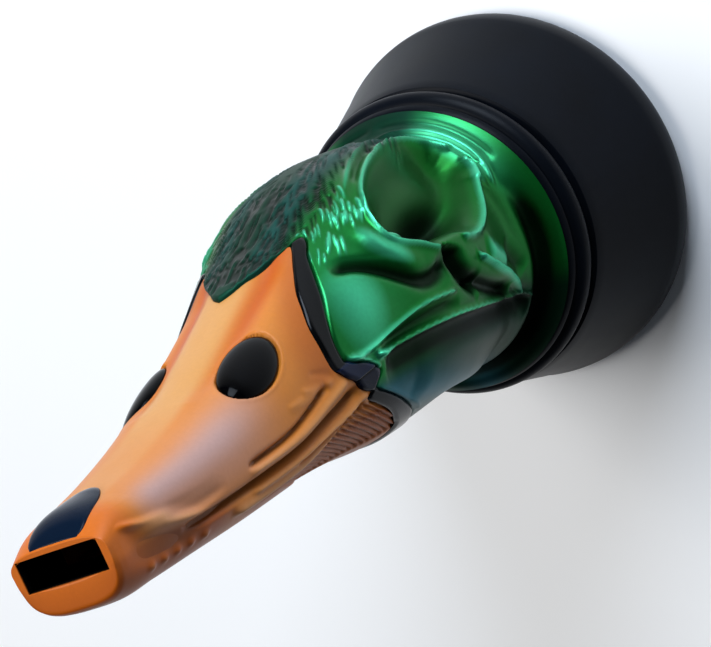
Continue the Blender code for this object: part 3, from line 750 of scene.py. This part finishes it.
def painted(name, roughness, specular, peel, peel_depth, metallic, fleck):
    """Sprayed lacquer: the paint map holds the airbrushing and the painted highlights and shade; flecks and
    orange peel break it up.
    """
    made, shader = new_material(name)
    place = add_node(made, "ShaderNodeTexCoord")
    coat_map = add_node(made, "ShaderNodeVertexColor", layer_name="paint")
    flecks = add_node(made, "ShaderNodeTexNoise", [("Vector", place.outputs["Object"])],
                      Scale=1 / (FLECK_SIZE * MM), Detail=5.0)
    brighter = add_node(made, "ShaderNodeMapRange", [("Value", flecks.outputs["Fac"])])
    brighter.inputs["To Min"].default_value = 1 - fleck
    brighter.inputs["To Max"].default_value = 1 + fleck
    mixed = add_node(made, "ShaderNodeVectorMath",
                     [(0, coat_map.outputs["Color"]), (1, brighter.outputs["Result"])],
                     operation="MULTIPLY")
    orange_peel = add_node(made, "ShaderNodeTexNoise", [("Vector", place.outputs["Object"])],
                           Scale=1 / (peel * MM), Detail=2.0)
    patchy = add_node(made, "ShaderNodeTexNoise", [("Vector", place.outputs["Object"])],
                      Scale=1 / (PATCH_SIZE * MM), Detail=3.0)
    uneven = add_node(made, "ShaderNodeMapRange", [("Value", patchy.outputs["Fac"])])
    uneven.inputs["To Min"].default_value = roughness + 0.30
    uneven.inputs["To Max"].default_value = roughness + 0.43
    gloss = add_node(made, "ShaderNodeMath",
                     [(0, coat_map.outputs["Alpha"]), (2, uneven.outputs["Result"])],
                     operation="MULTIPLY_ADD")
    gloss.inputs[1].default_value = GLOSS_GAIN
    relief = add_node(made, "ShaderNodeBump", [("Height", orange_peel.outputs["Fac"])],
                      Strength=0.3, Distance=peel_depth * MM)
    links = made.node_tree.links
    links.new(mixed.outputs["Vector"], shader.inputs["Base Color"])
    links.new(gloss.outputs["Value"], shader.inputs["Roughness"])
    links.new(relief.outputs["Normal"], shader.inputs["Normal"])
    shader.inputs["Metallic"].default_value = metallic
    shader.inputs["Specular IOR Level"].default_value = specular
    return made


# Metallic emerald lacquer is bright only where it faces a light, so every ridge draws a thin line.
emerald = painted("emerald_lacquer", roughness=0.32, specular=0.2, peel=1.1, peel_depth=0.010,
                  metallic=0.72, fleck=0.12)
for side, word in ((-1, "left"), (1, "right")):
    sculpt("head_" + word, side, half_shell(210, 200), shape_head, emerald, "head_green", "head_" + word)


# ---- Gape trim ---------------------------------------------------------------------------------
# A raised strip of gloss black at the corner of the mouth. It starts as a point beside the feather
# tongue, steps at the gape, and runs on under the throat.
TRIM_START = 28.5
TRIM_WALL = 1.2
EDGE_GAP = 0.06     # between the trim and its neighbours
TRIM_BLACK = "040506"
# Painted highlight: the blocks at the gape are painted dark blue.
STEP_HIGHLIGHT_BLUE = "0E1830"


def shape_trim(u, v, layer):
    """A low crowned strip between the two edges; its blocks at the gape stand a little higher and carry a
    painted blue highlight.
    """
    a = TRIM_START + u * (180 - TRIM_START)
    base = np.interp(a, *zip(*HEAD_EDGE)) + EDGE_GAP
    top = np.interp(a, *zip(*BILL_EDGE)) - EDGE_GAP
    middle = (base + top) / 2
    base, top = np.minimum(base, middle - 0.02), np.maximum(top, middle + 0.02)
    z = base + (top - base) * v
    step = ease(a, 91, 92) * (1 - ease(a, 102.5, 103.3))
    step += 0.5 * ease(a, 103.3, 104) * (1 - ease(a, 113, 114))
    crowned = 0.05 + 0.3 * ease(np.minimum(z - base, top - z), 0.0, 0.7) + 0.3 * step
    points = skin(a, z) + skin_normal(a, z) * np.where(layer > -0.05, crowned, -TRIM_WALL)[:, None]
    return points, blend_colour(np.tile(coat_of(TRIM_BLACK), (len(a), 1)), coat_of(STEP_HIGHLIGHT_BLUE), step)


# Gloss black lacquer is deep and wet, with only a trace of orange peel in its highlights.
trim_black = painted("gloss_black_lacquer", roughness=0.17, specular=0.13, peel=1.6, peel_depth=0.005,
                     metallic=0.0, fleck=0.1)
for side, word in ((-1, "left"), (1, "right")):
    sculpt("gape_trim_" + word, side, half_shell(300, 14), shape_trim, trim_black, "trim_black",
           "gape_trim_" + word)


# ---- Bill --------------------------------------------------------------------------------------
# Two halves of the same vinyl, airbrushed orange over peach; the peach along the top is also a painted
# highlight, and painted sheen and shade lie over the orange. The mould carries the hollow beside the culmen,
# the folds at the gape, the lip, and the comb of lamellae; the tip is closed round the slot.
SLOT_X = -4.35
SLOT_HALF_HEIGHT = 2.3
SLOT_HALF_WIDTH = 7.05
SLOT_DEPTH = 9.0
SIDE_SHARE, FACE_SHARE = 0.90, 0.96    # shares of the rows: the side, then up to the slot's edge
NOSTRIL_MIDDLE = (45.3, 106.0)
NOSTRIL_HALF = (24.0, 7.3)
SEAT_DEPTH = 1.4
LAMELLAE = 19
TEETH = 5

CULMEN_FOLDS = [
    ([(24, 83), (23, 90), (22, 97), (20, 106), (17, 116)], 2.2, -0.8, 0.2),
]
GAPE_FOLDS = [
    ([(93, 95), (95.5, 101), (97, 107), (97, 112), (96, 120)], 0.45, -1.1, 0.12),
    ([(99, 90.5), (102, 97), (103.5, 104), (103, 112), (101, 120)], 0.7, 0.5, 0.1),
    ([(107, 88.3), (110.5, 94), (112.5, 101), (113, 109), (112, 117), (110, 127), (106, 136)],
     0.75, -1.5, 0.1),
    ([(114, 86.5), (118, 93), (119.5, 101), (119, 110), (117.5, 120)], 0.6, 0.55, 0.08),
    ([(116.4, 87.5), (119.8, 93.5), (122, 100), (123, 108)], 0.3, -0.8, 0.15),
    ([(119.5, 89), (124, 97), (127, 106), (127, 116), (125, 125)], 0.9, 0.75, 0.1),
    ([(118, 87.3), (123.5, 93.5), (129, 100.5), (133, 108), (134, 117)], 0.5, -1.2, 0.12),
]
WRINKLES = [
    ([(86, 102), (90, 99), (94, 93.5)], 0.35, 0.22, 0.25),
    ([(87, 106.5), (89.5, 102.5), (93, 98)], 0.35, 0.18, 0.25),
    ([(83, 98.5), (88, 95.5), (92, 92.9)], 0.35, -0.14, 0.25),
]
LIP_FOLDS = [
    ([(70, 147), (77, 146.4), (83, 145), (88, 142.4), (92, 138.5), (97, 134.4), (102, 131), (106, 127)],
     0.65, 0.8, 0.35),
    ([(95, 148), (102, 142.5), (111, 137), (124, 130)], 1.8, -0.7, 0.35),
    ([(90, 139), (93.5, 132), (95, 124.5)], 0.7, -0.35, 0.3),
]

# Paints of the bill, from the crown line to the folds underneath. The peach is partly a painted highlight;
# the rosy sheen, the fold colours, the under-lip brown and the slot's black are painted light and shade.
# Partly painted highlight: peach is the bill's paint along the crown line, and also stands for the broad
# highlight along its top.
CULMEN_PEACH_HIGHLIGHT = "BE8648"
ORANGE = "BE7024"
BURNT_ORANGE = "B0500A"
# Painted sheen: a pinkish reflection on the side of the bill.
ROSY_SHEEN = "B08A80"
ROOT_ORANGE = "A65212"
TIP_ORANGE = "BC5E12"
# Painted shade: brown under the overhanging lip.
UNDER_LIP_SHADE = "9C4606"
# Painted highlight on the raised folds of the lower side.
FOLD_HIGHLIGHT = "BC8858"
# Painted shade in the grooves of the lower side.
FOLD_SHADE = "6C3C10"
# Painted shadow: the slot's wall is near black, as the dark inside of the mouth.
SLOT_SHADOW = "020202"


def bill_relief(a, z):
    """Everything the mould adds to the smooth bill, along its normal."""
    lift = folded(a, z, CULMEN_FOLDS + GAPE_FOLDS + WRINKLES + LIP_FOLDS)
    for k in range(LAMELLAE):
        start = (119.5 + 0.9 * k, 86.6 + 1.3 * k)
        comb = [start, (start[0] + 12, start[1] - 4.2), (start[0] + 34, start[1] - 13)]
        lift += stroke(a, z, comb, 0.3, -0.7, 0.06)
    for k in range(TEETH):
        lift += swell(a, z, (127 - 1.2 * k, 131 + 3.0 * k), (0.8, 0.7), 0.35)
    from_middle = np.hypot((a - NOSTRIL_MIDDLE[0]) / NOSTRIL_HALF[0],
                           (z - NOSTRIL_MIDDLE[1]) / NOSTRIL_HALF[1])
    seat = SEAT_DEPTH * (1 - ease(from_middle, 0.95, 1.01))
    brim = 0.08 * np.exp(-((from_middle - 1.08) / 0.06) ** 2)
    return lift - seat + brim


def bill_rows(v):
    """How far along the side, in from the face's edge, and down the slot each row is."""
    return (np.clip(v / SIDE_SHARE, 0, 1), np.clip((v - SIDE_SHARE) / (FACE_SHARE - SIDE_SHARE), 0, 1),
            np.clip((v - FACE_SHARE) / (1 - FACE_SHARE), 0, 1))


def shape_bill(u, v, layer):
    """Side, then the end face in to the slot, then the slot's wall; orange airbrushed over peach, with
    painted highlights, sheen and shade.
    """
    a = u * 180
    along, face, wall = bill_rows(v)
    base = np.interp(a, *zip(*BILL_EDGE)) + EDGE_GAP
    z = base + (tip - base) * along
    lift = bill_relief(a, z) * ease(tip - z, 0.0, 2.5)
    rounding = -(0.03 + 0.27 * ease(a, 84, 104)) * (1 - ease(tip - z, 0, 1.2)) ** 2
    outer = layer > -0.05
    inner_depth = -2.6 + 1.6 * ease(z, 118, 130) + 0.6 * ease(z, 132, 140)
    depth = np.where(outer, lift + rounding, inner_depth)
    points = skin(a, z) + skin_normal(np.clip(a, 0.7, 179.3), np.minimum(z, tip - 0.3)) * depth[:, None]

    # The end face runs straight in from the rim to the slot's edge; places near a corner snap to it.
    dx, dy = points[:, 0] - SLOT_X, points[:, 1]
    across = SLOT_HALF_WIDTH / np.maximum(np.abs(dy), 1e-6)
    up = SLOT_HALF_HEIGHT / np.maximum(np.abs(dx), 1e-6)
    near_corner = np.abs(across / up - 1) < 0.07
    slot_x = np.where(near_corner | (up < across), np.sign(dx) * SLOT_HALF_HEIGHT, dx * across)
    slot_y = np.where(near_corner | (across < up), np.sign(dy) * SLOT_HALF_WIDTH, dy * up)
    slot_point = np.stack([SLOT_X + slot_x, slot_y, np.full(len(a), tip)], 1)
    points += (slot_point - points) * face[:, None]
    points[:, 2] = np.where(face > 0, tip - np.where(outer, 0.0, 1.0), points[:, 2])
    points[:, 2] -= wall * SLOT_DEPTH

    root = (1 - ease(z - base, 1, 10)) * ease(a, 24, 34) * (1 - ease(a, 88, 97))
    chin = ease(a, 128, 134) * (1 - ease(z, 116, 130))
    tip_spray = ease(z, 141, 146) * (1 - 0.8 * ease(a, 92, 100) * (1 - face))
    paint = np.tile(coat_of(ORANGE), (len(a), 1))
    for colour, amount in (
            # Peach along the crown line, part paint and part painted highlight.
            (CULMEN_PEACH_HIGHLIGHT, (1 - ease(a, 9, 19)) * (1 - 0.6 * ease(z, 112, 128))),
            (BURNT_ORANGE, np.exp(-((a - 23) / 8) ** 2) * (1 - ease(z, 92, 122))),
            # Painted sheen on the side.
            (ROSY_SHEEN, np.exp(-((a - 66) / 27) ** 2) * ease(z, 104, 122) * (1 - ease(z, 137, 144))),
            (ROOT_ORANGE, root * 0.8),
            (ROOT_ORANGE, chin * 0.9),
            # Painted shade under the lip.
            (UNDER_LIP_SHADE, ease(a + (z - 135) * 0.9, 98, 106) * ease(z, 121, 129) * 0.9),
            (TIP_ORANGE, tip_spray),
            # Painted highlight on the raised folds.
            (FOLD_HIGHLIGHT, np.clip(lift * 0.9, 0, 0.8) * ease(a, 80, 90)),
            # Painted shade in the grooves.
            (FOLD_SHADE, np.clip(-lift * 0.85 - 0.1, 0, 0.85) * ease(a, 80, 90)),
            # Painted shadow down the slot.
            (SLOT_SHADOW, np.where(wall > 0.02, 1.0, 0.0))):
        paint = blend_colour(paint, coat_of(colour), amount)
    return points, paint


# Orange lacquer over vinyl is half matt: its lights are broad and soft, and it shows the mould's grain.
bill_paint = painted("orange_lacquer", roughness=0.40, specular=0.22, peel=0.9, peel_depth=0.02,
                     metallic=0.0, fleck=0.07)
for side, word in ((-1, "left"), (1, "right")):
    sculpt("bill_" + word, side, half_shell(190, 230), shape_bill, bill_paint, "bill_orange", "bill_" + word)


# ---- Nail --------------------------------------------------------------------------------------
# The hard nail on the tip of the bill is a separate gloss black moulding let into both halves. It is
# domed across and narrows to the rear.
NAIL_REAR = 137.0
NAIL_SETBACK = 0.3  # from the front of the nail to the tip of the bill
NAIL_WALL = 0.65    # depth of the nail's underside below the skin
NAIL_BLUE = "0A1626"
NAIL_OUTLINE = [(0.0, 0.3), (0.05, 1.5), (0.15, 2.6), (0.30, 3.6), (0.45, 4.3), (0.62, 4.8), (0.8, 5.0),
                (0.92, 4.8), (1.0, 4.1)]


def shape_nail(u, v, layer):
    """A shield from side to side of the crown line, domed, with its edges let into the bill."""
    z = NAIL_REAR + (tip - NAIL_SETBACK - NAIL_REAR) * v
    half = np.interp(v, *zip(*smooth_line(NAIL_OUTLINE)))
    y = (2 * u - 1) * half
    centre, up, _, half_width, squareness = section(z)
    x = centre + up * (1 - (np.abs(y) / half_width) ** squareness) ** (1 / squareness)
    dome = (1 - (2 * u - 1) ** 2) * (1 - np.abs(2 * v - 1) ** 3)
    x += np.where(layer > -0.05, 0.05 + 0.95 * dome ** 0.6, -NAIL_WALL)
    return np.stack([x, y, z], 1), np.tile(coat_of(NAIL_BLUE), (len(u), 1))


# Stoved black enamel is harder and smoother than the lacquer, and mirrors the lights more sharply.
enamel_black = painted("black_enamel", roughness=0.10, specular=0.05, peel=1.6, peel_depth=0.003,
                       metallic=0.0, fleck=0.1)
sculpt("bill_nail", 0, half_shell(60, 70), shape_nail, enamel_black, "trim_black", "bill_nail")


# ---- Nostrils ----------------------------------------------------------------------------------
# Two oval beads of gloss black, like set stones, one pressed into a seat in each side of the bill.
# Each is an enamelled moulding that fills its seat but for a hair's breadth.
SEAT_FIT = 0.985
BEAD_MIDDLE = -0.75     # height of the bead's widest ring above the skin
BEAD_RISE, BEAD_SINK = 1.6, 0.5
NOSTRIL_BLACK = "020203"


def shape_nostril(across, along, rise):
    """A unit sphere laid over the oval: its upper half is the dome, its lower half lies in the seat."""
    a = NOSTRIL_MIDDLE[0] + SEAT_FIT * NOSTRIL_HALF[0] * across
    z = NOSTRIL_MIDDLE[1] + SEAT_FIT * NOSTRIL_HALF[1] * along
    height = BEAD_MIDDLE + np.where(rise > 0, BEAD_RISE, BEAD_SINK) * rise
    points = skin(a, z) + skin_normal(a, z) * height[:, None]
    return points, np.tile(coat_of(NOSTRIL_BLACK), (len(a), 1))


for side, word in ((-1, "left"), (1, "right")):
    stone = bmesh.new()
    bmesh.ops.create_uvsphere(stone, u_segments=72, v_segments=40, radius=1.0)
    sculpt("nostril_" + word, side, stone, shape_nostril, enamel_black, "trim_black",
           "nostril_" + word)
